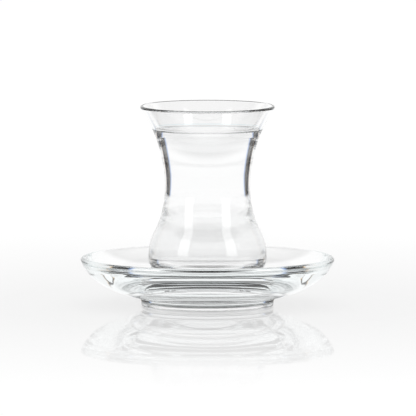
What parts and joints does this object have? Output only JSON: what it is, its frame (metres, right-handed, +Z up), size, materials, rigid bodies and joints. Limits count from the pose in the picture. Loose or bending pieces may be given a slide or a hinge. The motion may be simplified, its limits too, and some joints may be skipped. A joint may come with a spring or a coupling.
{
  "type": "turkish tea glass",
  "caption": "Waisted clear tea glass with a flared rim, filled with a clear drink, standing on a thick clear glass saucer on a foot ring.",
  "frame": {"origin": "on the surface it stands on, under the middle of the saucer's foot ring", "axes": "+Z up along the common axis of saucer and glass; any side may face +X"},
  "size_m": [0.1168, 0.1168, 0.0922],
  "materials": {
    "clear_glass": "polished, clear, thin blown wall with a fire-rounded rim",
    "clear_drink": "clear still water",
    "saucer_glass": "polished thick pressed glass, faintly green in depth"
  },
  "bodies": {
    "root": {"tea_glass": "clear_glass", "drink": "clear_drink", "saucer": "saucer_glass"}
  },
  "joints": []
}
